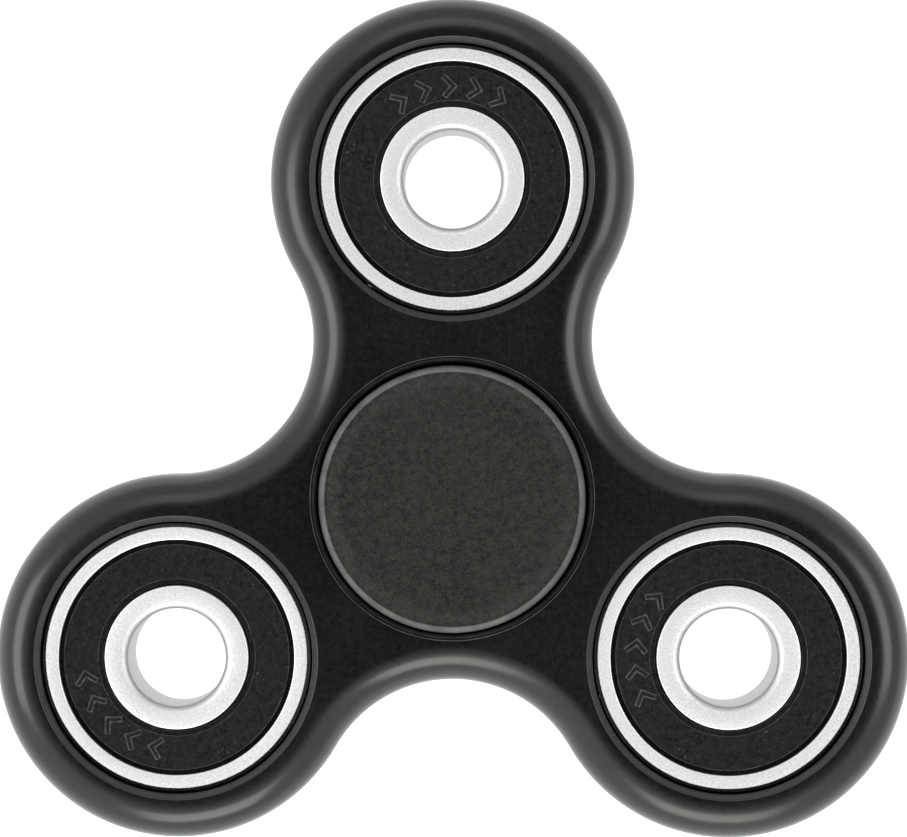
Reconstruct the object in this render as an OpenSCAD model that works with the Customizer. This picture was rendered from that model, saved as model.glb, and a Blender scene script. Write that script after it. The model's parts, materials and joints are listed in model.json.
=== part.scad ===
// Three-lobed hand spinner: a moulded body that holds four ball bearings, and two snap-in finger caps.
// +Z is the spin axis, +Y points at the north lobe, and z = 0 is the face that the lower cap rests on.

/* [Ball bearings] */
// Outer diameter of a bearing
bearing_od = 22; // [21:0.1:30]
// Bore of a bearing
bearing_bore = 8; // [6.5:0.1:9.8]
// Width of a bearing
bearing_w = 7; // [6.8:0.1:10]
// Diameter of a ball
ball_d = 3.969; // [3.3:0.001:4.2]
// Number of balls in a bearing
ball_count = 7; // [5:1:7]
// Groove radius of both raceways, as a share of the ball's diameter
groove_share = 0.52; // [0.51:0.005:0.53]
// Clearance between a ball and each raceway
race_gap = 0.04; // [0.02:0.01:0.08]
// How far the outer ring's shoulder lies outside the circle of ball centres
outer_shoulder = 1.35; // [1.2:0.05:1.5]
// How far the inner ring's shoulder lies inside the circle of ball centres
inner_shoulder = 1.6; // [1.3:0.05:1.65]
// Corner chamfer on the outside of the outer ring
outer_corner = 0.3; // [0.1:0.05:0.6]
// Corner radius at both ends of the bore
bore_corner = 0.6; // [0.2:0.05:0.8]
// Small edge break on the other ring corners
ring_edge = 0.1; // [0.05:0.01:0.2]

/* [Ball cages] */
// Sheet thickness of a cage half
cage_t = 0.35; // [0.25:0.01:0.4]
// Radial width of a cage half
cage_w = 1.6; // [1.2:0.1:2]
// Clearance between a ball and its pocket
pocket_gap = 0.1; // [0.05:0.01:0.15]
// Diameter of a cage rivet
rivet_d = 0.7; // [0.5:0.05:0.9]
// Diameter of a rivet head
rivet_head_d = 1.1; // [1:0.05:1.3]
// Height of a rivet head
rivet_head_h = 0.25; // [0.1:0.05:0.4]
// Clearance around a rivet in its hole
rivet_gap = 0.01; // [0.005:0.005:0.03]

/* [Seals] */
// Width of the outer ring's face around a seal
seal_seat_wall = 1.35; // [1.25:0.05:1.45]
// Depth from the bearing's face to the seal's flat face
seal_depth = 0.2; // [0.1:0.05:0.3]
// Thickness of the seal's flat part
seal_t = 0.65; // [0.5:0.05:0.65]
// Step down from the flat face to the seal's rim and to its lip
seal_step = 0.3; // [0.2:0.05:0.35]
// Width of the rim outside the flat face
seal_rim_w = 0.4; // [0.3:0.05:0.5]
// Width of the lip inside the flat face
seal_lip_w = 0.38; // [0.3:0.02:0.5]
// Depth of the groove that the seal's bead snaps into
seal_groove = 0.2; // [0.1:0.05:0.3]
// Fall of the bead's sloping upper side
bead_slope = 0.1; // [0.05:0.01:0.15]
// Clearance between a seal and the steel around it
seal_gap = 0.05; // [0.03:0.01:0.08]
// Clearance between the seal's lip and the inner ring
lip_gap = 0.15; // [0.03:0.01:0.15]

/* [Body] */
// Wall of the body around the three outer bearings
lobe_wall = 4; // [3.6:0.1:6]
// Wall between the middle bearing and each outer one
web = 4.1; // [2:0.1:12]
// Wall between the middle bearing and the hollows between the lobes
waist_wall = 4; // [3.6:0.1:7]
// How far the hollows bite into the lobes beside them, so that the two rounds cross in a clean line
hollow_bite = 0.05; // [0.03:0.01:0.1]
// Depth of the bearings' faces below the body's faces
bearing_recess = 0.6; // [0.2:0.05:1.2]
// Rounding of the body's outer edges
edge_r = 3; // [1:0.1:3.4]
// Width and depth of the chamfer at the mouth of a bearing seat
seat_chamfer = 0.45; // [0.2:0.05:0.45]
// How much wider the seat is near its mouth, so that a bearing starts easily
seat_relief = 0.15; // [0.05:0.05:0.15]
// Depth of that wider part below the body's face
seat_relief_depth = 1.3; // [0.8:0.1:2]
// Radial clearance between a seat and its bearing, a light press fit
seat_gap = 0.01; // [0.005:0.005:0.03]

/* [Finger caps] */
// Thickness of a cap's disc
cap_t = 1.7; // [1.2:0.1:3]
// How far the cap's edge lies inside the middle bearing's outer diameter
cap_inset = 0.15; // [0:0.05:1]
// Clearance between a cap and the body's face
cap_gap = 0.4; // [0.2:0.05:1]
// Rounding of the cap's outer edge
cap_edge_r = 0.55; // [0.2:0.05:1]
// Width of the ring that bears on the inner ring's face, outside the stem
boss_w = 1.4; // [1:0.1:1.5]
// Length of a cap's stem inside the bearing
stem_len = 3.3; // [2:0.1:3.35]
// Wall of the hollow stem
stem_wall = 1.2; // [0.8:0.1:2]
// Radial clearance between a stem and the bore, a light press fit
stem_gap = 0.01; // [0.005:0.005:0.03]
// Width of the slots that split the stem into four fingers
stem_slot = 0.8; // [0.5:0.1:1.2]
// Lead-in chamfer at the end of the stem
stem_lead = 0.3; // [0.1:0.05:0.5]

/* [Hidden] */
$fn = 96;
over = 1;                                   // how far a cutter reaches past what it cuts

ball_r = ball_d / 2;
pitch_r = (bearing_od + bearing_bore) / 4;  // radius of the circle of ball centres
groove_r = groove_share * ball_d;
bore_r = bearing_bore / 2;
ring_r = bearing_od / 2;
outer_land_r = pitch_r + outer_shoulder;
inner_land_r = pitch_r - inner_shoulder;
half_w = bearing_w / 2;

seal_seat_r = ring_r - seal_seat_wall;
seal_top = half_w - seal_depth;
seal_bottom = seal_top - seal_t;
seal_step_z = seal_top - seal_step;
seal_floor = seal_bottom - seal_gap;        // ledge of the outer ring below the seal
groove_deep_r = seal_seat_r + seal_groove;
groove_top = seal_step_z + seal_gap;

seat_r = ring_r + seat_gap;
lobe_r = ring_r + lobe_wall;
waist_r = ring_r + waist_wall;
arm_radius = bearing_od + web;
half_body = half_w + bearing_recess;

// A hollow is the round that reaches waist_r and bites into the lobes on both sides by hollow_bite.
hollow_reach = lobe_r - hollow_bite;
hollow_r = (waist_r * waist_r - waist_r * arm_radius + arm_radius * arm_radius - hollow_reach * hollow_reach)
    / (2 * hollow_reach - 2 * waist_r + arm_radius);
hollow_dist = waist_r + hollow_r;

cap_r = ring_r - cap_inset;
cap_low = half_body + cap_gap;
cap_top = cap_low + cap_t;
stem_r = bore_r - stem_gap;
boss_r = bore_r + boss_w;
mid_z = cap_top;                            // height of the middle plane above the resting face

places = ["centre", "north", "west", "east"];
lobe_angles = [90, 210, 330];
seats = concat([[0, 0]], [for (a = lobe_angles) arm_radius * [cos(a), sin(a)]]);
ring_pieces = [
    "outer_ring", "inner_ring", "seal_upper", "seal_lower",
    "cage_upper", "cage_lower", "cage_rivets"
];

// Takes a rounded corner off a section: children's corner is at the origin and they lie at -x, -y.
module corner_cut(r) {
    translate([-r, -r]) difference() {
        square(r + over);
        circle(r);
    }
}

// A closed outline from its points above the middle plane, repeated below it
module mirrored_outline(points) {
    below = [for (i = [len(points) - 1 : -1 : 0]) [points[i].x, -points[i].y]];
    polygon(concat(points, below));
}

// Children at the place of each ball, or turned by `first` degrees from there
module at_balls(first = 0) {
    for (n = [0 : ball_count - 1])
        rotate(first + n * 360 / ball_count) translate([pitch_r, 0, 0]) children();
}

// ---------- bearing ----------

module outer_ring() {
    section = [
        [outer_land_r, seal_floor],
        [groove_deep_r, seal_floor],
        [groove_deep_r, groove_top - bead_slope],
        [seal_seat_r, groove_top],
        [seal_seat_r, half_w - ring_edge],
        [seal_seat_r + ring_edge, half_w],
        [ring_r - outer_corner, half_w],
        [ring_r, half_w - outer_corner]
    ];
    color("lightgray") rotate_extrude() difference() {
        mirrored_outline(section);
        translate([pitch_r + ball_r + race_gap - groove_r, 0]) circle(groove_r);
    }
}

module inner_ring() {
    section = [
        [bore_r, half_w],
        [inner_land_r - ring_edge, half_w],
        [inner_land_r, half_w - ring_edge]
    ];
    color("lightgray") rotate_extrude() difference() {
        mirrored_outline(section);
        translate([pitch_r - ball_r - race_gap + groove_r, 0]) circle(groove_r);
        translate([bore_r, half_w]) mirror([1, 0]) corner_cut(bore_corner);
        translate([bore_r, -half_w]) mirror([1, 0]) mirror([0, 1]) corner_cut(bore_corner);
    }
}

module ball(n) {
    color("silver") rotate((n - 1) * 360 / ball_count) translate([pitch_r, 0, 0]) sphere(ball_r);
}

// One stamped half of the ribbon cage: flat between the balls, and a shell over each ball
module cage_half() {
    shell_r = ball_r + pocket_gap + cage_t;
    color("darkgray") difference() {
        intersection() {
            union() {
                cylinder(r = pitch_r + cage_w / 2 + over, h = cage_t);
                at_balls() sphere(shell_r);
            }
            difference() {
                cylinder(r = pitch_r + cage_w / 2, h = shell_r + over);
                translate([0, 0, -over]) cylinder(r = pitch_r - cage_w / 2, h = shell_r + 3 * over);
            }
        }
        at_balls() sphere(ball_r + pocket_gap);
        at_balls(180 / ball_count) translate([0, 0, -over])
            cylinder(d = rivet_d + 2 * rivet_gap, h = 3 * over);
    }
}

module cage_rivets() {
    color("gray") at_balls(180 / ball_count) {
        translate([0, 0, -cage_t]) cylinder(d = rivet_d, h = 2 * cage_t);
        translate([0, 0, cage_t]) cylinder(d = rivet_head_d, h = rivet_head_h);
        translate([0, 0, -cage_t - rivet_head_h]) cylinder(d = rivet_head_d, h = rivet_head_h);
    }
}

// A moulded rubber seal: a flat ring with a snap-in bead outside and a thin lip inside
module seal() {
    lip_in = inner_land_r + lip_gap;
    flat_in = lip_in + seal_lip_w;
    flat_out = seal_seat_r - seal_rim_w;
    bead_r = groove_deep_r - seal_gap;
    bead_chamfer = bead_slope / 2;
    color("#202020") rotate_extrude() polygon([
        [lip_in, seal_bottom],
        [lip_in, seal_step_z],
        [flat_in, seal_step_z + seal_step / 3],
        [flat_in, seal_top],
        [flat_out, seal_top],
        [flat_out, seal_step_z],
        [seal_seat_r - seal_gap, seal_step_z],
        [bead_r, seal_step_z - bead_slope],
        [bead_r, seal_bottom + bead_chamfer],
        [bead_r - bead_chamfer, seal_bottom]
    ]);
}

// ---------- body ----------

// Half section of a lobe, from its axis to its rounded edge
module lobe_section() {
    difference() {
        translate([0, -half_body]) square([lobe_r, 2 * half_body]);
        translate([lobe_r, half_body]) corner_cut(edge_r);
        translate([lobe_r, -half_body]) mirror([0, 1]) corner_cut(edge_r);
    }
}

// Half section of the cutter for a hollow: a column that flares into the rounded edge at both faces
module hollow_section() {
    difference() {
        translate([0, -half_body - over]) square([hollow_r + edge_r, 2 * (half_body + over)]);
        difference() {
            translate([hollow_r, -half_body]) square([edge_r + over, 2 * half_body]);
            translate([hollow_r, half_body]) mirror([1, 0]) corner_cut(edge_r);
            translate([hollow_r, -half_body]) mirror([1, 0]) mirror([0, 1]) corner_cut(edge_r);
        }
    }
}

// The flat middle, a hexagon whose corners are the centres of the lobes and the hollows
module body_core() {
    corners = [
        for (a = lobe_angles, p = [[arm_radius, a], [hollow_dist, a + 60]])
            p[0] * [cos(p[1]), sin(p[1])]
    ];
    translate([0, 0, -half_body]) linear_extrude(2 * half_body) polygon(corners);
}

// What a bearing seat takes out: the press fit, with a wider start and a chamfer at both faces
module bearing_seat() {
    relief_r = seat_r + seat_relief;
    rotate_extrude() mirrored_outline([
        [0, half_body + over],
        [relief_r + seat_chamfer + over, half_body + over],
        [relief_r, half_body - seat_chamfer],
        [relief_r, half_body - seat_relief_depth],
        [seat_r, half_body - seat_relief_depth]
    ]);
}

module body() {
    color("#1c1c1c") difference() {
        union() {
            body_core();
            for (a = lobe_angles) rotate(a) translate([arm_radius, 0, 0]) rotate_extrude() lobe_section();
        }
        for (a = lobe_angles) rotate(a + 60) translate([hollow_dist, 0, 0]) rotate_extrude() hollow_section();
        for (seat = seats) translate(seat) bearing_seat();
    }
}

// ---------- finger cap ----------

// The upper cap, whose stem points down into the middle bearing
module cap() {
    stem_end = half_w - stem_len;
    bore = stem_r - stem_wall;
    color("#343532") difference() {
        rotate_extrude() {
            difference() {
                translate([0, cap_low]) square([cap_r, cap_t]);
                translate([cap_r, cap_top]) corner_cut(cap_edge_r);
            }
            translate([bore, half_w]) square([boss_r - bore, cap_low - half_w]);
            polygon([
                [bore, stem_end],
                [stem_r - stem_lead, stem_end],
                [stem_r, stem_end + stem_lead],
                [stem_r, half_w],
                [bore, half_w]
            ]);
        }
        for (turn = [0, 90]) rotate(turn) translate([-stem_r - over, -stem_slot / 2, stem_end - over])
            cube([2 * (stem_r + over), stem_slot, stem_len + over - stem_lead]);
    }
}

// ---------- assembly ----------

module at_seat(i) {
    translate([seats[i].x, seats[i].y, mid_z]) children();
}

at_seat(0) body();
at_seat(0) cap();  // upper_cap
at_seat(0) mirror([0, 0, 1]) cap();  // lower_cap

for (i = [0 : len(places) - 1]) {
    place = places[i];
    at_seat(i) outer_ring();
    at_seat(i) inner_ring();
    at_seat(i) cage_half();
    at_seat(i) mirror([0, 0, 1]) cage_half();
    at_seat(i) cage_rivets();
    at_seat(i) seal();
    at_seat(i) mirror([0, 0, 1]) seal();
    for (n = [1 : ball_count])
        at_seat(i) ball(n);
}
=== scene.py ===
# %% [markdown]
# # A three-lobed hand spinner
# The real toy is a moulded plastic body with four ball bearings pressed into it. The middle bearing is
# held between two snap-in finger caps, and the three outer ones stay open and turn too.
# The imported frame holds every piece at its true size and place, so nothing is fitted by eye here.
# What shows is built again as fine, softly rounded meshes, because real edges are never perfectly sharp
# and it is the small roundings that catch the light. The balls, cages and rivets keep their frame shape.

# %% The frame and its box
import json
import math
import random

import bmesh
import bpy
from mathutils import Matrix, Vector, noise
from mathutils.geometry import delaunay_2d_cdt

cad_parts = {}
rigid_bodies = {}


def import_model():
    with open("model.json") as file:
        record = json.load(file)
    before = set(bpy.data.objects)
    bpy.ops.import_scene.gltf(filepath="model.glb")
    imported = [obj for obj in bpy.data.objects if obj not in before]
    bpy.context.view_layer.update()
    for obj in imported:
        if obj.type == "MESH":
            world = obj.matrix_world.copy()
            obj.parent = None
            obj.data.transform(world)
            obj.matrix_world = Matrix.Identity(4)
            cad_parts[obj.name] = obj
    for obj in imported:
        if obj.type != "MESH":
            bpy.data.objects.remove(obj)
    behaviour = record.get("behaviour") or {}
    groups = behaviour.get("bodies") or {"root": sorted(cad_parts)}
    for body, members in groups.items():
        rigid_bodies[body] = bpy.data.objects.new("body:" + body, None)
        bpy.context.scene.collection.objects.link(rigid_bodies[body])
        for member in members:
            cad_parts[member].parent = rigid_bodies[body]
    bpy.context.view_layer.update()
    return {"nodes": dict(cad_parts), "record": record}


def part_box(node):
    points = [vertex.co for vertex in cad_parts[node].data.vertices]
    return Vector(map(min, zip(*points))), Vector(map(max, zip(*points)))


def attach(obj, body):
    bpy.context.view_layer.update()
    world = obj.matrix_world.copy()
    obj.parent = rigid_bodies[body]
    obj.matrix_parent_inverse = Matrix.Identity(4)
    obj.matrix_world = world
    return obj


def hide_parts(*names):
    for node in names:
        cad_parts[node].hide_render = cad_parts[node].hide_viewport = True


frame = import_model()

MM = 0.001

# %% [markdown]
# ## Driving sizes
# The bearings' places and sizes, the body's thickness and the caps' heights are read from the frame.
# A section also has small features that a box can't tell, such as a chamfer or a seal's lip. They are
# named here once, in metres, and every outline below is worked out from them.

# %% Sizes read from the frame
def size_of(node):
    low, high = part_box(node)
    return high - low


def centre_of(node):
    low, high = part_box(node)
    return (low + high) / 2


PLACES = ["centre", "north", "west", "east"]
seats = {place: centre_of(f"{place}_outer_ring") for place in PLACES}
middle_z = seats["centre"].z

ring_r = size_of("north_outer_ring").x / 2
half_ring = size_of("north_outer_ring").z / 2
half_body = size_of("body").z / 2
arm = seats["north"].y
lobe_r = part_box("body")[1].y - arm
bore_r = next(m["dims"]["r_mm"] for m in frame["record"]["mounts"] if m["name"] == "north_bore") * MM
cap_r = size_of("upper_cap").x / 2
cap_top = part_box("upper_cap")[1].z - middle_z
print(f"lobes: radius {lobe_r / MM:.2f} mm, centred {arm / MM:.2f} mm from the spin axis")
print(f"body: {2 * half_body / MM:.2f} mm thick; caps: radius {cap_r / MM:.2f} mm")

# %% Small features, in metres
EDGE_R = 3.0 * MM
WAIST_R = 15.0 * MM
SEAT_GAP = 0.01 * MM
SEAT_RELIEF = 0.15 * MM
SEAT_RELIEF_DEPTH = 1.3 * MM
SEAT_CHAMFER = 0.45 * MM
SEAT_NICKS = 0.03 * MM
PARTING_RISE = 0.02 * MM
PARTING_HALF = 0.12 * MM

CAP_T = 1.7 * MM
CAP_EDGE_R = 0.55 * MM
BOSS_W = 1.4 * MM
STEM_GAP = 0.01 * MM
STEM_LEN = 3.3 * MM
STEM_WALL = 1.2 * MM
STEM_SLOT = 0.8 * MM
STEM_LEAD = 0.3 * MM

BALL_R = 3.969 * MM / 2
PITCH_R = (ring_r + bore_r) / 2
GROOVE_R = 0.52 * 2 * BALL_R
RACE_GAP = 0.04 * MM
OUTER_LAND_R = PITCH_R + 1.35 * MM
INNER_LAND_R = PITCH_R - 1.6 * MM
OUTER_CORNER = 0.3 * MM
BORE_CORNER = 0.6 * MM
RING_EDGE = 0.1 * MM

SEAL_SEAT_R = ring_r - 1.35 * MM
SEAL_TOP = half_ring - 0.2 * MM
SEAL_LOW = SEAL_TOP - 0.65 * MM
SEAL_STEP = 0.3 * MM
SEAL_GAP = 0.05 * MM
SEAL_GROOVE = 0.2 * MM
BEAD_SLOPE = 0.1 * MM
LIP_GAP = 0.15 * MM
LIP_TOUCH = 0.012 * MM
LIP_FOOT = 0.12 * MM
LIP_W = 0.38 * MM
RIM_W = 0.4 * MM
RIM_DEEP = 0.6 * MM

# %% [markdown]
# ## Turned pieces
# Rings, seals and caps are all round, so each one is a small outline turned about its axis.
# An outline is a list of corners, and each corner says how much it is rounded. `rounded` swaps it for a
# short arc, so every edge has a real radius. Each point also carries a number called rub_and_sheen: 1 where
# hands and machines wear an edge and where an edge gets a painted highlight, 0 elsewhere. The materials
# use it to polish those edges and to lighten their colour as a painted highlight.

# %% From corners to an outline
ARC_STEPS = 5


def rounded(corners):
    """Outline points (radius, height, rub) from corners (radius, height, rounding, rub)."""
    points = []
    for i, (r, z, rounding, rub_and_sheen) in enumerate(corners):
        corner = Vector((r, z))
        if rounding == 0:
            points.append((r, z, rub_and_sheen))
            continue
        before = (Vector(corners[i - 1][:2]) - corner).normalized()
        after = (Vector(corners[(i + 1) % len(corners)][:2]) - corner).normalized()
        half_angle = before.angle(after) / 2
        hub = corner + (before + after).normalized() * rounding / math.sin(half_angle)
        start = corner + before * rounding / math.tan(half_angle) - hub
        end = corner + after * rounding / math.tan(half_angle) - hub
        sweep = math.copysign(math.pi - 2 * half_angle, start.cross(end))
        for k in range(ARC_STEPS + 1):
            share = k / ARC_STEPS
            point = hub + Matrix.Rotation(sweep * share, 2) @ start
            points.append((point.x, point.y, rub_and_sheen * math.sin(math.pi * share)))
    return points


def both_faces(corners):
    """Corners above the middle plane, repeated below it."""
    return corners + [(r, -z, rounding, rub_and_sheen) for r, z, rounding, rub_and_sheen in reversed(corners)]


# %% Skins between rows of points
def add_row(bm, rub_and_sheen_layer, points):
    """One row of vertices from (position, rub) pairs."""
    row = []
    for position, rub_and_sheen in points:
        vert = bm.verts.new(position)
        vert[rub_and_sheen_layer] = rub_and_sheen
        row.append(vert)
    return row


def skin(bm, rows, joined_rows=True, joined_ends=True):
    """Quads between each row and the next. joined_rows closes the last row to the first."""
    count = len(rows[0])
    for k in range(len(rows) if joined_rows else len(rows) - 1):
        row, following = rows[k], rows[(k + 1) % len(rows)]
        for i in range(count if joined_ends else count - 1):
            j = (i + 1) % count
            bm.faces.new((row[i], row[j], following[j], following[i]))


def new_mesh():
    bm = bmesh.new()
    # Each vertex carries rub_and_sheen: wear and polish on real edges, and a painted highlight in the
    # materials.
    return bm, bm.verts.layers.float.new("rub_and_sheen")


WELD = 0.0005 * MM


def finished_piece(bm, name, place, body, material, replaced):
    """Welds the mesh, makes an object of it at `place` and hands it to its body in the frame."""
    bmesh.ops.remove_doubles(bm, verts=bm.verts, dist=WELD)
    bmesh.ops.recalc_face_normals(bm, faces=bm.faces)
    mesh = bpy.data.meshes.new(name)
    bm.to_mesh(mesh)
    bm.free()
    mesh.shade_smooth()
    piece = bpy.data.objects.new(name, mesh)
    bpy.context.scene.collection.objects.link(piece)
    piece.matrix_world = place
    piece.data.materials.append(material)
    flat_faces = piece.modifiers.new("flat faces stay flat", "WEIGHTED_NORMAL")
    flat_faces.weight = 100
    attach(piece, body)
    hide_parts(replaced)
    return piece


TURN_STEPS = 192


def turn(bm, rub_and_sheen_layer, outline, centre=(0, 0), span=(0, 2 * math.pi), closed=True, ragged=0, seed=0):
    """Turns an outline about a vertical axis. ragged moves rubbed points in and out by up to that much."""
    whole = abs(span[1] - span[0] - 2 * math.pi) < 1e-6
    steps = max(2, round(TURN_STEPS * (span[1] - span[0]) / (2 * math.pi)))
    rows = []
    for k in range(steps if whole else steps + 1):
        angle = span[0] + (span[1] - span[0]) * k / steps
        wave = Vector((9 * math.cos(angle), 9 * math.sin(angle), 10 * seed))
        shake = ragged * (noise.noise(wave) + 0.7 * noise.noise(4 * wave))
        row = []
        for r, z, rub_and_sheen in outline:
            reach = r + shake * rub_and_sheen
            row.append(((centre[0] + reach * math.cos(angle), centre[1] + reach * math.sin(angle), z), rub_and_sheen))
        rows.append(add_row(bm, rub_and_sheen_layer, row))
    skin(bm, rows, joined_rows=whole, joined_ends=closed)
    return rows


# %% [markdown]
# ## Finishes: tools for shader nodes
# Every finish is a small graph of nodes. Effects that several materials share, such as fine speckle,
# handling marks or rubbed edges, are node groups: each is built once, and a material places it with
# its own values. All of them work in millimetres, so their sizes can be read as real sizes.

# %% Node helpers
def add_node(tree, kind, inputs=None, **settings):
    """Adds a node, then sets or links its inputs by name or number."""
    node = tree.nodes.new(kind)
    for key, value in settings.items():
        setattr(node, key, value)
    for key, value in (inputs or {}).items():
        if isinstance(value, bpy.types.NodeSocket):
            tree.links.new(value, node.inputs[key])
        else:
            node.inputs[key].default_value = value
    return node


def new_effect(name, inputs, outputs):
    """An empty node group. inputs are {name: default number}, with None for a vector."""
    tree = bpy.data.node_groups.new(name, "ShaderNodeTree")
    for label, default in inputs.items():
        kind = "NodeSocketVector" if default is None else "NodeSocketFloat"
        socket = tree.interface.new_socket(name=label, in_out="INPUT", socket_type=kind)
        if default is not None:
            socket.default_value = default
    for label in outputs:
        tree.interface.new_socket(name=label, in_out="OUTPUT", socket_type="NodeSocketFloat")
    return tree, tree.nodes.new("NodeGroupInput").outputs, tree.nodes.new("NodeGroupOutput")


def maths(tree, operation, *values, clamp=False):
    inputs = dict(enumerate(values))
    return add_node(tree, "ShaderNodeMath", inputs, operation=operation, use_clamp=clamp).outputs[0]


def remap(tree, value, low, high, to_low=0.0, to_high=1.0, smooth=False):
    inputs = {"Value": value, "From Min": low, "From Max": high, "To Min": to_low, "To Max": to_high}
    kind = "SMOOTHSTEP" if smooth else "LINEAR"
    return add_node(tree, "ShaderNodeMapRange", inputs, interpolation_type=kind).outputs["Result"]


def cloud(tree, vector, size, detail=2.0, roughness=0.5):
    """Noise whose patches are about `size` millimetres across."""
    scale = size if isinstance(size, (int, float)) else None
    share = 1 / scale if scale else maths(tree, "DIVIDE", 1.0, size)
    inputs = {"Vector": vector, "Scale": share, "Detail": detail, "Roughness": roughness}
    return add_node(tree, "ShaderNodeTexNoise", inputs).outputs["Fac"]


# %% [markdown]
# ### Fine speckle
# Moulded plastic, rubber and sheet steel all break light up at a scale of a few tenths of a
# millimetre. Two clouds of noise, one over twice as coarse as the other, give a grain with no repeat.

# %% Speckle group
def build_speckle():
    tree, given, result = new_effect("fine speckle", {"Vector": None, "Size": 0.15}, ["Speckle"])
    fine = cloud(tree, given["Vector"], given["Size"], detail=3.0, roughness=0.7)
    coarse = cloud(tree, given["Vector"], maths(tree, "MULTIPLY", given["Size"], 2.3), detail=1.0)
    blend = maths(tree, "ADD", maths(tree, "MULTIPLY", fine, 0.65), maths(tree, "MULTIPLY", coarse, 0.35))
    tree.links.new(remap(tree, blend, 0.34, 0.66), result.inputs["Speckle"])
    return tree


speckle_effect = build_speckle()
print("built", speckle_effect.name)

# %% [markdown]
# ### Handling marks
# A toy that lives in a pocket gets hairline scratches and the dull touch of fingers. A scratch is
# noise stretched far along one direction and cut to its thinnest ridge. Two directions cross, and a
# broad cloud decides where there are any. The second output is the soft smudge of a finger.

# %% Handling group
def build_handling():
    inputs = {"Vector": None, "Spread": 9.0}
    tree, given, result = new_effect("handling marks", inputs, ["Scratches", "Smudge"])
    ridges = []
    for angle, stretch in ((35, (4.0, 0.10, 1.0)), (-62, (5.0, 0.14, 1.0))):
        turned = {"Vector": given["Vector"], "Rotation": (0, 0, math.radians(angle)), "Scale": stretch}
        along = add_node(tree, "ShaderNodeMapping", turned).outputs["Vector"]
        streak = cloud(tree, along, 3.0, detail=2.0)
        off_middle = maths(tree, "ABSOLUTE", maths(tree, "SUBTRACT", streak, 0.5))
        ridges.append(remap(tree, off_middle, 0.0, 0.006, 1.0, 0.0))
    both = maths(tree, "MAXIMUM", ridges[0], ridges[1])
    where = remap(tree, cloud(tree, given["Vector"], given["Spread"], detail=2.0), 0.5, 0.68)
    tree.links.new(maths(tree, "MULTIPLY", both, where), result.inputs["Scratches"])
    smudge = remap(tree, cloud(tree, given["Vector"], given["Spread"], detail=3.0), 0.35, 0.7, smooth=True)
    tree.links.new(smudge, result.inputs["Smudge"])
    return tree


handling_effect = build_handling()
print("built", handling_effect.name)

# %% [markdown]
# ### Rubbed edges and painted sheen
# The rub_and_sheen number on each rounding is broken up by noise, so an edge is worn, and lightened
# by painted sheen, in places and whole in others. Even closes the gaps, up to 1 for wear and sheen
# that run all the way along.

# %% Rub and painted sheen group
def build_rub_and_sheen():
    inputs = {"Vector": None, "Rub": 0.0, "Size": 1.2, "Even": 0.0}
    tree, given, result = new_effect("rubbed edges and painted sheen", inputs, ["Worn"])
    patches = remap(tree, cloud(tree, given["Vector"], given["Size"], detail=4.0, roughness=0.6), 0.36, 0.62)
    filled = remap(tree, patches, 0.0, 1.0, given["Even"], 1.0)
    # Where the materials polish an edge and lighten its colour as a painted highlight.
    tree.links.new(maths(tree, "MULTIPLY", given["Rub"], filled, clamp=True), result.inputs["Worn"])
    return tree


rub_and_sheen_effect = build_rub_and_sheen()
print("built", rub_and_sheen_effect.name)

# %% [markdown]
# ### Grinding grain
# A bearing ring's faces are ground: short scratches run round the axis, crossed by finer ones.
# Noise stretched along the turning direction makes the lines, and speckle breaks them into short
# strokes. The group needs coordinates that start on the ring's own axis, and it also gives the
# distance from that axis, so that a material can treat a bore and a rim apart.

# %% Grinding group
def build_grinding():
    tree, given, result = new_effect("grinding grain", {"Vector": None, "Size": 0.12}, ["Grain", "Radius"])
    parts = add_node(tree, "ShaderNodeSeparateXYZ", {"Vector": given["Vector"]}).outputs
    angle = maths(tree, "ARCTAN2", parts["Y"], parts["X"])
    flat = add_node(tree, "ShaderNodeCombineXYZ", {"X": parts["X"], "Y": parts["Y"]}).outputs["Vector"]
    radius = add_node(tree, "ShaderNodeVectorMath", {0: flat}, operation="LENGTH").outputs["Value"]
    along = maths(tree, "MULTIPLY", angle, 2.2)
    unrolled = {"X": radius, "Y": along, "Z": parts["Z"]}
    lines_at = add_node(tree, "ShaderNodeCombineXYZ", unrolled).outputs["Vector"]
    lines = cloud(tree, lines_at, given["Size"], detail=3.0, roughness=0.65)
    stroke_size = maths(tree, "MULTIPLY", given["Size"], 1.6)
    strokes = cloud(tree, given["Vector"], stroke_size, detail=3.0, roughness=0.7)
    blend = maths(tree, "ADD", maths(tree, "MULTIPLY", lines, 0.45), maths(tree, "MULTIPLY", strokes, 0.55))
    tree.links.new(remap(tree, blend, 0.34, 0.66), result.inputs["Grain"])
    tree.links.new(radius, result.inputs["Radius"])
    return tree


grinding_effect = build_grinding()
print("built", grinding_effect.name)

# %% [markdown]
# ## The finishes
# Each material starts the same way: coordinates in millimetres from the piece's own centre, and a
# Principled shader. Numbers that are the same all over are set on the shader itself. Only what
# varies over the surface is wired in.

# %% A material's common start
def new_finish(name, metallic=0.0, specular=0.5, ior=1.5):
    material = bpy.data.materials.new(name)
    material.use_nodes = True
    tree = material.node_tree
    tree.nodes.clear()
    output = add_node(tree, "ShaderNodeOutputMaterial")
    shader = add_node(tree, "ShaderNodeBsdfPrincipled", {"Metallic": metallic, "IOR": ior})
    shader.inputs["Specular IOR Level"].default_value = specular
    tree.links.new(shader.outputs["BSDF"], output.inputs["Surface"])
    from_centre = add_node(tree, "ShaderNodeTexCoord").outputs["Object"]
    scaled = {0: from_centre, "Scale": 1 / MM}
    in_mm = add_node(tree, "ShaderNodeVectorMath", scaled, operation="SCALE").outputs["Vector"]
    return material, tree, shader, in_mm


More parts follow.
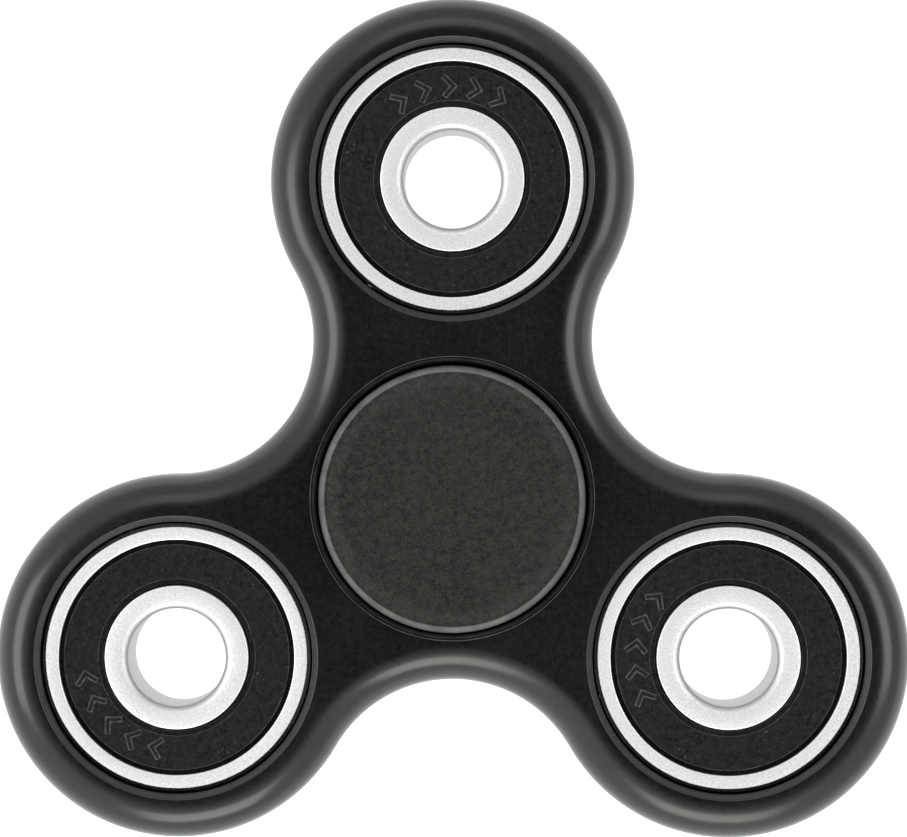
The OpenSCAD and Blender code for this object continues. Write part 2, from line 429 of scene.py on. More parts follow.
def effect(tree, group, **values):
    """Places a node group and returns its outputs."""
    node = add_node(tree, "ShaderNodeGroup", node_tree=group)
    for label, value in values.items():
        if isinstance(value, bpy.types.NodeSocket):
            tree.links.new(value, node.inputs[label])
        else:
            node.inputs[label].default_value = value
    return node.outputs


def tint(tree, share, first, second):
    """A colour that goes from first to second."""
    mixer = add_node(tree, "ShaderNodeMix", data_type="RGBA")
    for socket, value in ((mixer.inputs[0], share), (mixer.inputs[6], first), (mixer.inputs[7], second)):
        if isinstance(value, bpy.types.NodeSocket):
            tree.links.new(value, socket)
        else:
            socket.default_value = value if isinstance(value, float) else (*value, 1.0)
    return mixer.outputs[2]


def rub_and_sheen_of_mesh(tree):
    return add_node(tree, "ShaderNodeAttribute", attribute_name="rub_and_sheen").outputs["Fac"]


def relief(tree, shader, height, depth):
    """Wires a height, whose full range is `depth` metres, to the shader's normal."""
    inputs = {"Height": height, "Distance": depth, "Strength": 1.0}
    bump = add_node(tree, "ShaderNodeBump", inputs)
    tree.links.new(bump.outputs["Normal"], shader.inputs["Normal"])


# %% [markdown]
# ### Black moulded plastic
# The body is glossy black plastic from a polished mould. Its gloss isn't perfect: the surface rolls
# very slightly, has a faint skin texture, and carries hairlines and finger smudges from handling.

# %% Body plastic
def build_body_plastic():
    material, tree, shader, at = new_finish("body plastic")
    speck = effect(tree, speckle_effect, Vector=at, Size=0.22)["Speckle"]
    marks = effect(tree, handling_effect, Vector=at, Spread=11.0)
    wear_and_sheen = effect(tree, rub_and_sheen_effect, Vector=at, Rub=rub_and_sheen_of_mesh(tree), Size=1.6, Even=0.6)["Worn"]
    deep = tint(tree, speck, (0.0006, 0.0006, 0.0005), (0.0052, 0.0052, 0.0048))
    scuffed = tint(tree, maths(tree, "MULTIPLY", marks["Scratches"], 0.12), deep, (0.05, 0.05, 0.05))
    # The seat mouths are lightened here as a painted highlight, most of all round the middle seat, where the
    # cap shades the chamfer.
    tree.links.new(tint(tree, maths(tree, "MULTIPLY", wear_and_sheen, 0.8), scuffed, (0.19, 0.19, 0.19)),
                   shader.inputs["Base Color"])
    dull = maths(tree, "ADD", remap(tree, marks["Smudge"], 0.0, 1.0, 0.17, 0.23),
                 maths(tree, "MULTIPLY", speck, 0.05))
    tree.links.new(dull, shader.inputs["Roughness"])
    roll = maths(tree, "MULTIPLY", cloud(tree, at, 5.0, detail=1.0), 2.0)
    relief(tree, shader, maths(tree, "ADD", roll, maths(tree, "MULTIPLY", speck, 0.5)), 0.0022 * MM)
    return material


body_plastic = build_body_plastic()
print("finish:", body_plastic.name)

# %% [markdown]
# ### Charcoal cap plastic
# The caps are lighter than the body, and matte: their mould is spark-eroded to a fine sandy
# texture that a fingertip can hold. Fingers polish the rim a little smoother, and the rim and the
# roll of the face are lightened as a painted highlight.

# %% Cap plastic
def build_cap_plastic():
    material, tree, shader, at = new_finish("cap plastic", specular=0.13)
    speck = effect(tree, speckle_effect, Vector=at, Size=0.2)["Speckle"]
    marks = effect(tree, handling_effect, Vector=at, Spread=8.0)
    wear_and_sheen = effect(tree, rub_and_sheen_effect, Vector=at, Rub=rub_and_sheen_of_mesh(tree), Size=2.0, Even=0.6)["Worn"]
    sandy = tint(tree, speck, (0.0012, 0.0013, 0.0008), (0.0275, 0.0280, 0.0246))
    smudged = tint(tree, maths(tree, "MULTIPLY", marks["Smudge"], 0.2), sandy, (0.022, 0.022, 0.020))
    scuffed = tint(tree, maths(tree, "MULTIPLY", marks["Scratches"], 0.2), smudged, (0.06, 0.06, 0.056))
    # The rim and the roll are lightened here as a painted highlight; below, they are also made smoother.
    tree.links.new(tint(tree, maths(tree, "MULTIPLY", wear_and_sheen, 0.75), scuffed, (0.15, 0.15, 0.145)),
                   shader.inputs["Base Color"])
    dull = maths(tree, "SUBTRACT", remap(tree, marks["Smudge"], 0.0, 1.0, 0.58, 0.52),
                 maths(tree, "MULTIPLY", wear_and_sheen, 0.25))
    tree.links.new(dull, shader.inputs["Roughness"])
    relief(tree, shader, speck, 0.03 * MM)
    return material


cap_plastic = build_cap_plastic()
print("finish:", cap_plastic.name)

# %% [markdown]
# ### Ground bearing steel
# The rings' faces are ground and then tumbled, so they look pale and even, with a fine restless
# grain rather than a mirror. Both corners are darker than the faces, as painted shade: the bore's
# corner where it turns down into the bore, and the outer corner where it sits in the body's seat.
# The outer one is smoother too. The group's distance from the axis tells where they are.

# %% Ring steel
def build_ring_steel():
    material, tree, shader, at = new_finish("ring steel", metallic=1.0)
    ring = effect(tree, grinding_effect, Vector=at, Size=0.13)
    grain = ring["Grain"]
    bore_mm = bore_r / MM
    rim_mm = ring_r / MM
    # The bore's corner is darkened below as painted shade, where it turns into the bore.
    in_bore = remap(tree, ring["Radius"], bore_mm + 0.33, bore_mm + 0.5, 1.0, 0.0)
    # The outer corner, down in the body's seat, is darkened below as painted shade and made smoother.
    on_rim = remap(tree, ring["Radius"], rim_mm - 0.34, rim_mm - 0.28)
    marks = effect(tree, handling_effect, Vector=at, Spread=5.0)
    wear_and_sheen = effect(tree, rub_and_sheen_effect, Vector=at, Rub=rub_and_sheen_of_mesh(tree), Size=1.5)["Worn"]
    ground = tint(tree, grain, (0.58, 0.58, 0.59), (0.95, 0.95, 0.95))
    marked = tint(tree, maths(tree, "MULTIPLY", marks["Scratches"], 0.25), ground, (0.5, 0.5, 0.51))
    # The rubbed edges are lighter: real polish, and partly a painted highlight.
    polished_and_sheen = tint(tree, maths(tree, "MULTIPLY", wear_and_sheen, 0.6), marked, (0.93, 0.93, 0.93))
    # Painted shade: the bore's corner goes darker, then the outer corner much darker.
    bore_shaded = tint(tree, in_bore, polished_and_sheen, (0.5, 0.5, 0.5))
    tree.links.new(tint(tree, on_rim, bore_shaded, (0.2, 0.2, 0.2)), shader.inputs["Base Color"])
    smoother = maths(tree, "ADD", maths(tree, "MULTIPLY", wear_and_sheen, 0.14), maths(tree, "MULTIPLY", on_rim, 0.2))
    dull = maths(tree, "SUBTRACT", remap(tree, grain, 0.0, 1.0, 0.54, 0.40), smoother)
    tree.links.new(dull, shader.inputs["Roughness"])
    relief(tree, shader, grain, 0.011 * MM)
    return material


ring_steel = build_ring_steel()
print("finish:", ring_steel.name)

# %% [markdown]
# ### Lapped balls and stamped cages
# Balls are lapped almost to a mirror, with a trace of grease. Cages are stamped from thin sheet,
# duller and slightly wavy. Both sit behind the seals and keep their frame shape, and their
# coordinates start at the spin axis, so they use speckle rather than the turning grain.

# %% Ball and cage steel
def build_ball_steel():
    material, tree, shader, at = new_finish("ball steel", metallic=1.0)
    grease = effect(tree, handling_effect, Vector=at, Spread=1.5)["Smudge"]
    speck = effect(tree, speckle_effect, Vector=at, Size=0.3)["Speckle"]
    tree.links.new(tint(tree, grease, (0.74, 0.75, 0.77), (0.62, 0.61, 0.57)), shader.inputs["Base Color"])
    dull = maths(tree, "ADD", remap(tree, grease, 0.0, 1.0, 0.07, 0.2), maths(tree, "MULTIPLY", speck, 0.03))
    tree.links.new(dull, shader.inputs["Roughness"])
    return material


def build_cage_steel():
    material, tree, shader, at = new_finish("cage steel", metallic=1.0)
    speck = effect(tree, speckle_effect, Vector=at, Size=0.2)["Speckle"]
    marks = effect(tree, handling_effect, Vector=at, Spread=2.0)
    rolled = tint(tree, speck, (0.42, 0.43, 0.44), (0.62, 0.62, 0.62))
    tree.links.new(tint(tree, marks["Scratches"], rolled, (0.8, 0.8, 0.8)), shader.inputs["Base Color"])
    tree.links.new(remap(tree, speck, 0.0, 1.0, 0.32, 0.46), shader.inputs["Roughness"])
    relief(tree, shader, speck, 0.004 * MM)
    return material


ball_steel = build_ball_steel()
cage_steel = build_cage_steel()
for node_name, node_object in frame["nodes"].items():
    if "_ball_" in node_name or "_cage_" in node_name:
        node_object.data.materials.clear()
        node_object.data.materials.append(ball_steel if "_ball_" in node_name else cage_steel)
        node_object.data.shade_smooth()
print("finishes:", ball_steel.name, "and", cage_steel.name)

# %% [markdown]
# ### Seal rubber
# The seals are black nitrile rubber: matte, slightly grey, with tiny pale specks of bloom and lint.
# Their moulded edges have a little flash, which is part of the mesh, and a thin painted highlight.

# %% Seal rubber
def build_seal_rubber():
    material, tree, shader, at = new_finish("seal rubber", specular=0.09)
    speck = effect(tree, speckle_effect, Vector=at, Size=0.2)["Speckle"]
    bloom = remap(tree, cloud(tree, at, 2.6, detail=3.0), 0.3, 0.7, smooth=True)
    lint = remap(tree, cloud(tree, at, 0.34, detail=2.0, roughness=0.6), 0.67, 0.75)
    wear_and_sheen = effect(tree, rub_and_sheen_effect, Vector=at, Rub=rub_and_sheen_of_mesh(tree), Size=0.5, Even=0.3)["Worn"]
    base = tint(tree, speck, (0.0, 0.0, 0.0), (0.0160, 0.0157, 0.0157))
    bloomed = tint(tree, maths(tree, "MULTIPLY", bloom, 0.3), base, (0.0110, 0.0104, 0.0106))
    # The seal's edges are lightened here as thin painted highlight lines.
    edge_highlighted = tint(tree, maths(tree, "MULTIPLY", wear_and_sheen, 0.8), bloomed, (0.14, 0.14, 0.14))
    tree.links.new(tint(tree, maths(tree, "MULTIPLY", lint, 0.6), edge_highlighted, (0.08, 0.08, 0.08)),
                   shader.inputs["Base Color"])
    tree.links.new(remap(tree, speck, 0.0, 1.0, 0.62, 0.5), shader.inputs["Roughness"])
    relief(tree, shader, maths(tree, "ADD", speck, maths(tree, "MULTIPLY", lint, 1.5)), 0.03 * MM)
    return material


seal_rubber = build_seal_rubber()
print("finish:", seal_rubber.name)

# %% [markdown]
# ## The body
# Seen from above, the body is three lobes joined by three round hollows, so its outline is six arcs
# that run smoothly into each other. Moving that outline inwards only changes the arcs' radii. The
# outer edge is a half-round with a short straight side, so the skin is one outline repeated at
# several insets and heights, with the fine parting line of the two mould halves at mid height.

# %% The body's outline
LOBE_STEPS = 96
HOLLOW_STEPS = 48
LOBE_ANGLES = [math.radians(a) for a in (90, 210, 330)]


def polar(radius, angle):
    return Vector((radius * math.cos(angle), radius * math.sin(angle)))


def hollow_radius():
    """Radius of the round that touches two lobes and comes within WAIST_R of the axis."""
    low, high = 1 * MM, 100 * MM
    for _ in range(60):
        guess = (low + high) / 2
        to_lobe = (polar(WAIST_R + guess, math.radians(30)) - polar(arm, math.radians(90))).length
        if to_lobe > guess + lobe_r:
            low = guess
        else:
            high = guess
    return guess


hollow_r = hollow_radius()
hollow_arm = WAIST_R + hollow_r


def body_outline(inset):
    """Points round the body, moved inwards by inset."""
    points = []
    lobe_centre = polar(arm, math.radians(90))
    meeting = (polar(hollow_arm, math.radians(150)) - lobe_centre)
    lobe_sweep = math.atan2(meeting.y, meeting.x) % (2 * math.pi) - math.radians(90)
    hollow_sweep = lobe_sweep - math.radians(60)
    for angle in LOBE_ANGLES:
        for k in range(LOBE_STEPS):
            turned_by = angle + lobe_sweep * (2 * k / LOBE_STEPS - 1)
            points.append(polar(arm, angle) + polar(lobe_r - inset, turned_by))
        hollow_angle = angle + math.radians(60)
        for k in range(HOLLOW_STEPS):
            turned_by = hollow_angle + math.pi - hollow_sweep * (2 * k / HOLLOW_STEPS - 1)
            points.append(polar(hollow_arm, hollow_angle) + polar(hollow_r + inset, turned_by))
    return points


print(f"hollows: radius {hollow_r / MM:.2f} mm, {hollow_arm / MM:.2f} mm from the axis")

# %% The body's rounded edge
FILLET_STEPS = 14
side_half = half_body - EDGE_R
relief_r = ring_r + SEAT_GAP + SEAT_RELIEF
mouth_r = relief_r + SEAT_CHAMFER
MOUTH_ROUND = 0.12 * MM


def edge_profile():
    """(inset, height, rub) up the body's outer edge, from the lower flat to the upper one."""
    upper = []
    for k in range(FILLET_STEPS + 1):
        tilt = math.pi / 2 * k / FILLET_STEPS
        upper.append((EDGE_R * (1 - math.cos(tilt)), side_half + EDGE_R * math.sin(tilt), 0.0))
    parting = [(0.0, PARTING_HALF, 0.0), (-PARTING_RISE, PARTING_HALF / 3, 0.12)]
    half = parting[::-1] + upper
    return [(inset, -z, rub_and_sheen) for inset, z, rub_and_sheen in reversed(half)] + half


def skin_edge(bm, rub_and_sheen_layer):
    rows = []
    for inset, z, rub_and_sheen in edge_profile():
        rows.append(add_row(bm, rub_and_sheen_layer, [((p.x, p.y, z), rub_and_sheen) for p in body_outline(inset)]))
    skin(bm, rows, joined_rows=False)


# %% [markdown]
# The two flat faces have an awkward shape: the inset outline with four round holes in it. A
# constrained triangulation fills exactly that. The seats are turned outlines: a tight fit, a slightly
# wider start that reads as a black line round each bearing, and a chamfer with a few nicks in it.
# The middle chamfer is lightened as a painted highlight, for the lit ring that the cap shades, the
# others a little. The outlines' first and last points fall on the holes' edges, so all of it welds.

# %% The body's faces and seats
# The painted highlight on each seat's mouth and on its chamfer's lower edge, strongest round the middle
# seat.
MOUTH_SHEEN = {"centre": (1.0, 0.0), "north": (0.1, 0.15), "west": (0.1, 0.15), "east": (0.1, 0.15)}


def seat_outline(mouth_sheen, relief_sheen):
    wall = ring_r + SEAT_GAP
    half_way = SEAT_CHAMFER / 2
    corners = [
        (mouth_r + 2 * MOUTH_ROUND, half_body, 0, 0),
        (mouth_r, half_body, MOUTH_ROUND, mouth_sheen),
        (mouth_r - half_way, half_body - half_way, 0, (mouth_sheen + relief_sheen) / 2),
        (relief_r, half_body - SEAT_CHAMFER, MOUTH_ROUND / 2, relief_sheen),
        (relief_r, half_body - SEAT_RELIEF_DEPTH, 0, 0),
        (wall, half_body - SEAT_RELIEF_DEPTH, 0, 0),
    ]
    open_ended = rounded(corners + [(wall, 0, 0, 0)])
    return open_ended[:-1] + [(r, -z, rub_and_sheen) for r, z, rub_and_sheen in reversed(open_ended[:-1])]


def fill_faces(bm, rub_and_sheen_layer):
    points = body_outline(EDGE_R)
    loops = [list(range(len(points)))]
    hole_r = mouth_r + 2 * MOUTH_ROUND
    for centre in seats.values():
        first = len(points)
        points += [centre.xy + polar(hole_r, 2 * math.pi * k / TURN_STEPS) for k in range(TURN_STEPS)]
        loops.append(list(range(first, len(points))))
    edges = [(loop[i - 1], loop[i]) for loop in loops for i in range(len(loop))]
    in_mm = [point / MM for point in points]
    verts, _, faces, _, _, _ = delaunay_2d_cdt(in_mm, edges, [], 1, 1e-7)
    for z in (half_body, -half_body):
        row = add_row(bm, rub_and_sheen_layer, [((v.x * MM, v.y * MM, z), 0.0) for v in verts])
        for face in faces:
            middle = sum((verts[i] for i in face), Vector((0, 0))) * MM / len(face)
            if all((middle - centre.xy).length > hole_r for centre in seats.values()):
                bm.faces.new([row[i] for i in face])


def build_body():
    bm, rub_and_sheen_layer = new_mesh()
    skin_edge(bm, rub_and_sheen_layer)
    fill_faces(bm, rub_and_sheen_layer)
    for seed, (place, centre) in enumerate(seats.items()):
        outline = seat_outline(*MOUTH_SHEEN[place])
        turn(bm, rub_and_sheen_layer, outline, centre.xy, closed=False, ragged=SEAT_NICKS, seed=seed)
    at_middle = Matrix.Translation((0, 0, middle_z))
    return finished_piece(bm, "spinner_body", at_middle, "frame", body_plastic, "body")


body = build_body()
print("body:", len(body.data.polygons), "faces")

# %% [markdown]
# ## The finger caps
# A cap is a disc with a softly rounded rim. Under it a short boss bears on the inner ring, and a
# hollow stem, split into four fingers, snaps into the bore. The face isn't dead flat: it rolls off
# by a few hundredths near the rim, as a moulded disc does when it shrinks. That roll, and the start
# of the rim's rounding most of all, are polished and lightened as a painted highlight.

# %% Cap outlines
stem_r = bore_r - STEM_GAP
stem_bore = stem_r - STEM_WALL
stem_end = half_ring - STEM_LEN
FACE_ROLL = 0.05 * MM
ROLL_START = 9.0 * MM
# The roll's painted sheen, which also polishes it a little.
ROLL_POLISH_AND_SHEEN = 0.07
ROLL_STEPS = 8
RIM_STEPS = 12
RIM_SKEW = 0.45


def cap_disc_outline():
    """From the middle of the face, over the rim and boss, to the middle of the underside."""
    rim_r = cap_r - CAP_EDGE_R
    face = [(0.0, cap_top, 0.0), (ROLL_START, cap_top, 0.0)]
    for k in range(1, ROLL_STEPS + 1):
        share = k / ROLL_STEPS
        across = ROLL_START + (rim_r - ROLL_START) * share
        # The roll is lightened as a painted sheen, fading in and out.
        rub_and_sheen = ROLL_POLISH_AND_SHEEN * math.sin(math.pi * share)
        face.append((across, cap_top - FACE_ROLL * share ** 2, rub_and_sheen))
    rim_height = CAP_EDGE_R - FACE_ROLL
    for k in range(1, RIM_STEPS + 1):
        share = k / RIM_STEPS
        tilt = math.pi / 2 * share
        across = rim_r + CAP_EDGE_R * math.sin(tilt)
        # The rim's rounding gets a painted highlight, strongest near its start, and is polished.
        rub_and_sheen = max(ROLL_POLISH_AND_SHEEN, math.sin(math.pi * share ** RIM_SKEW))
        face.append((across, cap_top - CAP_EDGE_R + rim_height * math.cos(tilt), rub_and_sheen))
    cap_low = cap_top - CAP_T
    below = rounded([
        (cap_r, cap_top - CAP_EDGE_R, 0, 0),
        (cap_r, cap_low, 0.12 * MM, 0.5),
        (bore_r + BOSS_W, cap_low, 0.1 * MM, 0),
        (bore_r + BOSS_W, half_ring, 0.08 * MM, 0),
        (stem_r, half_ring, 0.04 * MM, 0),
        (stem_r, half_ring - STEM_LEAD, 0, 0),
        (stem_bore, half_ring - STEM_LEAD, 0, 0),
        (stem_bore, cap_low, 0.2 * MM, 0),
        (0, cap_low, 0, 0),
    ])
    return face + below[1:]


def stem_finger_outline():
    return rounded([
        (stem_bore, half_ring - STEM_LEAD / 2, 0, 0),
        (stem_bore, stem_end, 0.1 * MM, 0),
        (stem_r - STEM_LEAD, stem_end, 0.1 * MM, 0),
        (stem_r, stem_end + STEM_LEAD, 0.1 * MM, 0),
        (stem_r, half_ring - STEM_LEAD / 2, 0, 0),
    ])


# %% Building the caps
FINGERS = 4


def build_cap(node, name, face_turn):
    bm, rub_and_sheen_layer = new_mesh()
    turn(bm, rub_and_sheen_layer, cap_disc_outline(), closed=False)
    slot_half = math.asin(STEM_SLOT / 2 / stem_r)
    for k in range(FINGERS):
        start = 2 * math.pi * k / FINGERS
        span = (start + slot_half, start + 2 * math.pi / FINGERS - slot_half)
        rows = turn(bm, rub_and_sheen_layer, stem_finger_outline(), span=span)
        bm.faces.new(rows[0])
        bm.faces.new(rows[-1])
    place = Matrix.Translation((0, 0, middle_z)) @ face_turn
    return finished_piece(bm, name, place, "hub", cap_plastic, node)


upside_down = Matrix.Rotation(math.pi, 4, "X")
upper_cap = build_cap("upper_cap", "finger_cap_upper", Matrix.Rotation(math.radians(20), 4, "Z"))
lower_turn = upside_down @ Matrix.Rotation(math.radians(55), 4, "Z")
lower_cap = build_cap("lower_cap", "finger_cap_lower", lower_turn)
print("caps:", upper_cap.name, lower_cap.name)

# %% [markdown]
# ## Bearing rings
# Each ring is a closed outline with its raceway groove cut in it. The outer ring also has the ledge
# and undercut that hold the seal. Every ring gets its own seeded turn about its axis, so that the
# grinding grain isn't the same on all four.

# %% Ring outlines
GROOVE_STEPS = 20


def raceway(hub_r, land_r, inwards):
    """Points along a raceway groove, from its upper shoulder to its lower one."""
    reach = math.acos(abs(land_r - hub_r) / GROOVE_R)
    points = []
    for k in range(GROOVE_STEPS + 1):
        lean = reach * (1 - 2 * k / GROOVE_STEPS)
        points.append((hub_r + inwards * GROOVE_R * math.cos(lean), GROOVE_R * math.sin(lean), 0.0))
    return points


def outer_ring_outline():
    floor = SEAL_LOW - SEAL_GAP
    groove_top = SEAL_TOP - SEAL_STEP + SEAL_GAP
    undercut_r = SEAL_SEAT_R + SEAL_GROOVE
    corners = [
        (OUTER_LAND_R, floor, 0.05 * MM, 0),
        (undercut_r, floor, 0, 0),
        (undercut_r, groove_top - BEAD_SLOPE, 0, 0),
        (SEAL_SEAT_R, groove_top, 0.03 * MM, 0),
        (SEAL_SEAT_R, half_ring, RING_EDGE, 1.0),
        (ring_r - OUTER_CORNER, half_ring, 0.06 * MM, 0),
        (ring_r, half_ring - OUTER_CORNER, 0.06 * MM, 0),
    ]
    hub_r = PITCH_R + BALL_R + RACE_GAP - GROOVE_R
    return rounded(both_faces(corners)) + raceway(hub_r, OUTER_LAND_R, 1)[::-1]


def inner_ring_outline():
    corners = [
        (bore_r, half_ring, BORE_CORNER, 0),
        (INNER_LAND_R, half_ring, RING_EDGE, 1.0),
    ]
    hub_r = PITCH_R - BALL_R - RACE_GAP + GROOVE_R
    upper = rounded(both_faces(corners))
    cut = len(upper) // 2
    return upper[:cut] + raceway(hub_r, INNER_LAND_R, -1) + upper[cut:]


# %% Building the rings
dice = random.Random(41)


def place_of(place, face_down=False):
    """Where a bearing piece sits, with a turn of its own about the axis."""
    spun = Matrix.Rotation(dice.uniform(0, 2 * math.pi), 4, "Z")
    return Matrix.Translation(seats[place]) @ (upside_down @ spun if face_down else spun)


def build_ring(place, kind, outline, body_name):
    bm, rub_and_sheen_layer = new_mesh()
    turn(bm, rub_and_sheen_layer, outline)
    node = f"{place}_{kind}"
    return finished_piece(bm, node + "_steel", place_of(place), body_name, ring_steel, node)


for ring_place in PLACES:
    inner_body = "hub" if ring_place == "centre" else f"{ring_place}_inner"
    build_ring(ring_place, "outer_ring", outer_ring_outline(), "frame")
    build_ring(ring_place, "inner_ring", inner_ring_outline(), inner_body)
print("rings:", 2 * len(PLACES))

# %% [markdown]
# ## Rubber seals
# A seal is a flat rubber ring with a stepped rim outside and a thin lip inside. The lip's foot all
# but touches the inner ring, so that no light comes through the bearing. Real seals have a ragged
# hair of flash along the moulded edges, so the rubbed points of the outline are shaken in and out a
# little. Where a real seal has moulded lettering, five plain chevrons stand in for it.

# %% Seal outline
SEAL_EDGE = 0.05 * MM


def seal_outline():
    lip_in = INNER_LAND_R + LIP_GAP
    flat_in = lip_in + LIP_W
    flat_out = SEAL_SEAT_R - RIM_W
    step_z = SEAL_TOP - SEAL_STEP
    rim_z = SEAL_TOP - RIM_DEEP
    bead_r = SEAL_SEAT_R + SEAL_GROOVE - SEAL_GAP
    return rounded([
        (INNER_LAND_R + LIP_TOUCH, SEAL_LOW, 0, 0),
        (INNER_LAND_R + LIP_TOUCH, SEAL_LOW + LIP_FOOT, 0, 0),
        (lip_in, SEAL_LOW + 2 * LIP_FOOT, 0, 0),
        (lip_in, step_z, SEAL_EDGE, 0.9),
        (flat_in, step_z + SEAL_STEP / 3, 0.03 * MM, 0),
        (flat_in, SEAL_TOP, SEAL_EDGE, 0.9),
        (flat_out, SEAL_TOP, SEAL_EDGE, 0.9),
        (flat_out, rim_z, 0.04 * MM, 0),
        (bead_r, rim_z, 0.03 * MM, 0),
        (bead_r, SEAL_LOW, 0.03 * MM, 0),
    ])


# %% Raised chevrons
MARK_COUNT = 5
MARK_HIGH = 0.07 * MM
MARK_R = 7.6 * MM
MARK_PITCH = math.radians(16)
MARK_REACH = 0.75 * MM
MARK_HALF_W = 0.19 * MM
MARK_SINK = 0.03 * MM
# Each step up a chevron's side: its width and height as shares of the full ones, then its
# rub_and_sheen, which lightens the edge as a painted highlight. The first lies below the face, at its own
# depth.
MARK_STEPS = [(1.55, -MARK_SINK, 0), (1.35, 0, 0.2), (1.0, 0.8, 0.65), (0.75, 1.0, 0.5), (0.5, 1.0, 0)]


def add_chevron(bm, rub_and_sheen_layer, angle):
    """A raised V that lies on the seal's face and points round the ring."""
    point_at = Vector((0, -0.5 * MARK_REACH))
    ends = [Vector((-MARK_REACH, 0.45 * MARK_REACH)), Vector((MARK_REACH, 0.45 * MARK_REACH))]
    place = Matrix.Rotation(angle, 2)
    rings = []
    for spread, z, rub_and_sheen in MARK_STEPS:
        height = SEAL_TOP + (z if z < 0 else z * MARK_HIGH)
        half = MARK_HALF_W * spread
        outline = []
        for end, side in ((ends[0], -1), (ends[1], 1)):
            along = (end - point_at).normalized()
            across = Vector((-along.y, along.x)) * half
            tip = end + along * half * 0.6
            outline.append((tip + across, tip - across))
        v_in = point_at + Vector((0, half * 1.5))
        v_out = point_at - Vector((0, half * 1.5))
        left, right = outline
        shape = [v_out, right[1], right[0], v_in, left[1], left[0]]
        row = []
        for p in shape:
            at = place @ (Vector((MARK_R, 0)) + p)
            row.append(((at.x, at.y, height), rub_and_sheen))
        rings.append(add_row(bm, rub_and_sheen_layer, row))
    skin(bm, rings, joined_rows=False)
    bm.faces.new(rings[-1])
    bm.faces.new(rings[0])


# %% Building the seals
FLASH = 0.045 * MM
MARKS_AT = {"centre": 40, "north": 92, "west": 225, "east": 173}


def build_seal(place, side, seed):
    bm, rub_and_sheen_layer = new_mesh()
    turn(bm, rub_and_sheen_layer, seal_outline(), ragged=FLASH, seed=seed)
    for k in range(MARK_COUNT):
        add_chevron(bm, rub_and_sheen_layer, (k - (MARK_COUNT - 1) / 2) * MARK_PITCH)
    facing = Matrix.Rotation(math.radians(MARKS_AT[place]), 4, "Z")
    if side == "lower":
        facing = upside_down @ facing
    where = Matrix.Translation(seats[place]) @ facing
    node = f"{place}_seal_{side}"
    return finished_piece(bm, node + "_rubber", where, "frame", seal_rubber, node)


for seed, (seal_place, seal_side) in enumerate((p, s) for p in PLACES for s in ("upper", "lower")):
    build_seal(seal_place, seal_side, seed)
print("seals:", 2 * len(PLACES))

# %% [markdown]
# ## Floor and light
# A white studio: a pale floor that glows a little, and an even pale surround. Straight above hangs a
# soft dark patch, as the ceiling behind a camera is, and it is what keeps the glossy flats deep
# black while the roundings turn away from it and shine. Soft boxes to the left, to the right and on
# the near side draw the long streaks along the roundings, with a faint one on the far side.

# %% The floor
FLOOR_DROP = 0.02 * MM
FLOOR_REACH = 2.4


def build_floor():
    mesh = bpy.data.meshes.new("floor")
    bm = bmesh.new()
    bmesh.ops.create_grid(bm, x_segments=1, y_segments=1, size=FLOOR_REACH)
    bm.to_mesh(mesh)
    bm.free()
    floor = bpy.data.objects.new("floor", mesh)
    floor.location.z = -FLOOR_DROP
    bpy.context.scene.collection.objects.link(floor)
    material, _, shader, _ = new_finish("pale floor", specular=0.1)
    shader.inputs["Base Color"].default_value = (0.45, 0.45, 0.45, 1.0)
    shader.inputs["Roughness"].default_value = 0.9
    shader.inputs["Emission Color"].default_value = (1.0, 1.0, 1.0, 1.0)
    shader.inputs["Emission Strength"].default_value = 1.0
    floor.data.materials.append(material)
    return floor


floor = build_floor()

# %% The surround
SURROUND = 1.25
PATCH_LEVEL = 0.06
PATCH_AXIS = Vector((0.08, 0.06, 1.0)).normalized()
PATCH_CLEAR = math.radians(9)
PATCH_END = math.radians(41)
BRIGHT_SIDE = Vector((-0.6, -0.8, 0.0))
BRIGHT_SIDE_LIFT = 0.3


def build_surround():
    world = bpy.data.worlds.new("pale surround")
    world.use_nodes = True
    tree = world.node_tree
    tree.nodes.clear()
    direction = add_node(tree, "ShaderNodeTexCoord").outputs["Generated"]
    ahead = {0: direction, 1: PATCH_AXIS}
    cosine = add_node(tree, "ShaderNodeVectorMath", ahead, operation="DOT_PRODUCT").outputs["Value"]
    off_axis = maths(tree, "ARCCOSINE", cosine)
    around = remap(tree, off_axis, PATCH_CLEAR, PATCH_END, PATCH_LEVEL, SURROUND, smooth=True)
    sideways = {0: direction, 1: BRIGHT_SIDE}
    towards = add_node(tree, "ShaderNodeVectorMath", sideways, operation="DOT_PRODUCT").outputs["Value"]
    lift = remap(tree, towards, -1.0, 1.0, 1 - BRIGHT_SIDE_LIFT, 1 + BRIGHT_SIDE_LIFT)
    level = maths(tree, "MULTIPLY", around, lift)
    glow = add_node(tree, "ShaderNodeBackground", {"Color": (1.0, 1.0, 1.0, 1.0), "Strength": level})
    output = add_node(tree, "ShaderNodeOutputWorld")
    tree.links.new(glow.outputs["Background"], output.inputs["Surface"])
    bpy.context.scene.world = world


build_surround()

# %% The soft boxes
BOX_REACH = 0.5
BOX_W = 0.30
BOX_H = 0.22


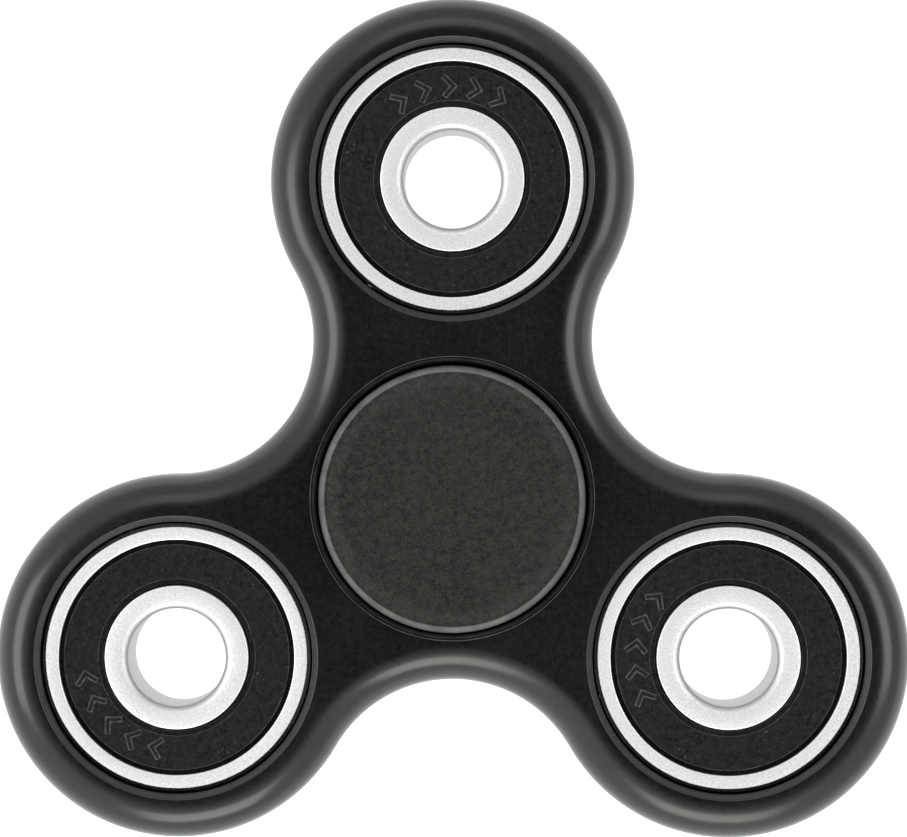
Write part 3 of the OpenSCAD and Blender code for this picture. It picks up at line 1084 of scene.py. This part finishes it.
def add_soft_box(name, round_from_right, down_from_top, glow, colour):
    """A soft box BOX_REACH from the spinner. glow is its radiance, as seen mirrored in the roundings."""
    lamp = bpy.data.lights.new(name, "AREA")
    lamp.shape = "RECTANGLE"
    lamp.size = BOX_W
    lamp.size_y = BOX_H
    lamp.energy = glow * math.pi * BOX_W * BOX_H
    lamp.color = colour
    level = polar(BOX_REACH * math.sin(math.radians(down_from_top)), math.radians(round_from_right))
    place = Vector((level.x, level.y, middle_z + BOX_REACH * math.cos(math.radians(down_from_top))))
    holder = bpy.data.objects.new(name, lamp)
    bpy.context.scene.collection.objects.link(holder)
    holder.location = place
    to_object = Vector((0, 0, middle_z)) - place
    holder.rotation_euler = to_object.to_track_quat("-Z", "Y").to_euler()
    holder.visible_camera = False
    return holder


add_soft_box("left soft box", 182, 50, 3.6, (0.96, 0.98, 1.0))
add_soft_box("right soft box", 4, 45, 3.0, (0.97, 0.99, 1.0))
add_soft_box("near soft box", 271, 53, 4.1, (1.0, 0.975, 0.92))
add_soft_box("far soft box", 92, 40, 0.8, (1.0, 1.0, 1.0))
print("stage:", floor.name, "and the lights")

# %% [markdown]
# ## Camera
# The camera looks almost straight down at the spinner lying on its lower cap, with the north lobe
# at the top of the picture, from about a forearm's length. Its long lens keeps the bores nearly
# round, and only their far walls show.

# %% The camera
CAMERA_AT = Vector((3.5, 9.3, 276.0)) * MM
LOOK_AT = Vector((0.06, 6.5, 6.2)) * MM


def build_camera():
    lens = bpy.data.cameras.new("camera")
    lens.lens = 129.3
    lens.sensor_width = 36.0
    lens.clip_start = 0.01
    lens.clip_end = 10.0
    camera = bpy.data.objects.new("camera", lens)
    bpy.context.scene.collection.objects.link(camera)
    backwards = (CAMERA_AT - LOOK_AT).normalized()
    rightwards = (Vector((1, 0, 0)) - backwards * backwards.x).normalized()
    upwards = backwards.cross(rightwards)
    turned_to = Matrix((rightwards, upwards, backwards)).transposed()
    camera.matrix_world = Matrix.Translation(CAMERA_AT) @ turned_to.to_4x4()
    bpy.context.scene.camera = camera


build_camera()
bpy.context.scene.view_settings.view_transform = "Standard"
